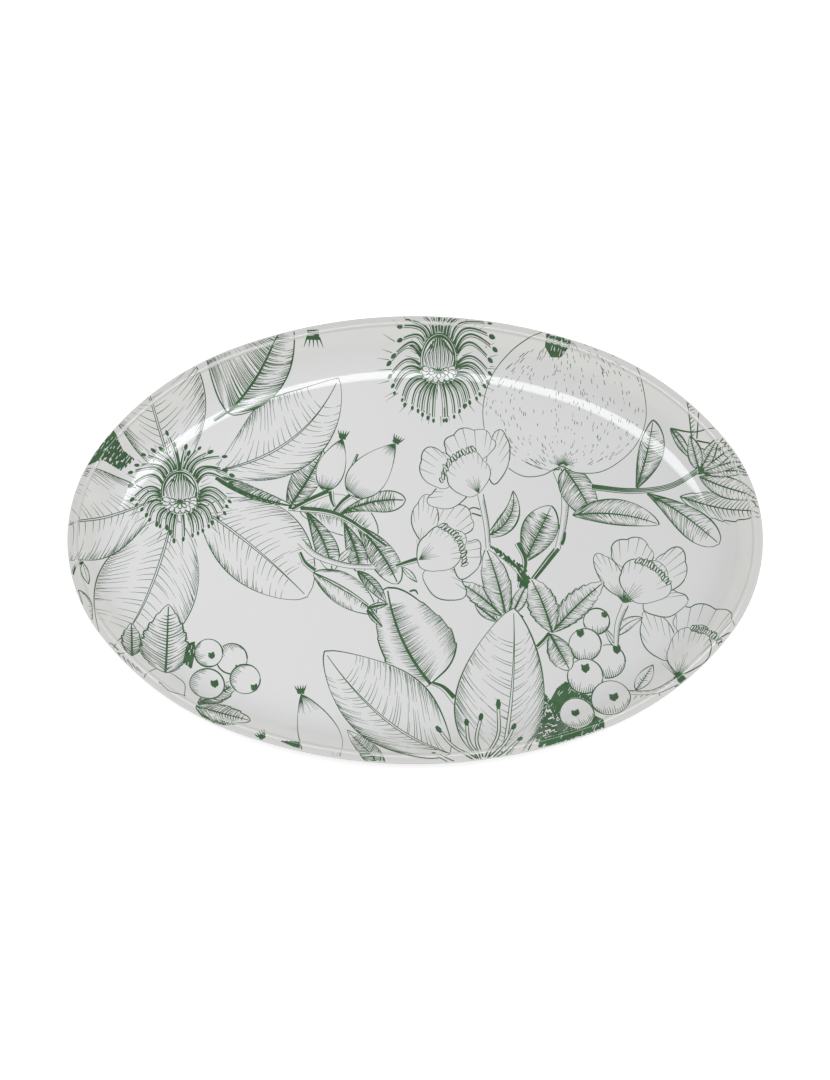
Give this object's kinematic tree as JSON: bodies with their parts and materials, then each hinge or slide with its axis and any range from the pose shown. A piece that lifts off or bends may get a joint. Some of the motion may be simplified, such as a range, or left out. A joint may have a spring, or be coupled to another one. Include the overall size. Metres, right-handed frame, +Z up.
{
  "type": "oval serving platter",
  "caption": "Oval glazed ceramic serving platter with a sloping wall, a narrow sloping lip, a foot ring and a green line-drawn botanical print",
  "frame": {"origin": "centre of the foot ring's standing plane, under the middle of the oval", "axes": "+X along the long axis, +Y along the short axis, +Z up out of the dish"},
  "size_m": [0.36, 0.24, 0.0259],
  "materials": {
    "clay": "fired clay, matt where it is left dry on the foot ring",
    "glaze": "clear glossy glaze over off-white ware",
    "print": "dark green ceramic colour under a glossy glaze"
  },
  "bodies": {
    "root": {"clay_body": "clay", "face_glaze": "glaze", "back_glaze": "glaze", "recess_glaze": "glaze", "print_star_flower": "print", "print_crest_flower": "print", "print_folded_leaf": "print", "print_rim_calyx": "print", "print_rosehips": "print", "print_lobed_leaf": "print", "print_closed_bud": "print", "print_left_berries": "print", "print_bottom_hip": "print", "print_heart_leaf": "print", "print_lily": "print", "print_twin_peonies": "print", "print_big_fruit": "print", "print_fruit_leaves": "print", "print_rim_branch": "print", "print_right_peony": "print", "print_serrated_leaves": "print", "print_right_berries": "print", "print_corner_peony": "print"}
  },
  "joints": []
}
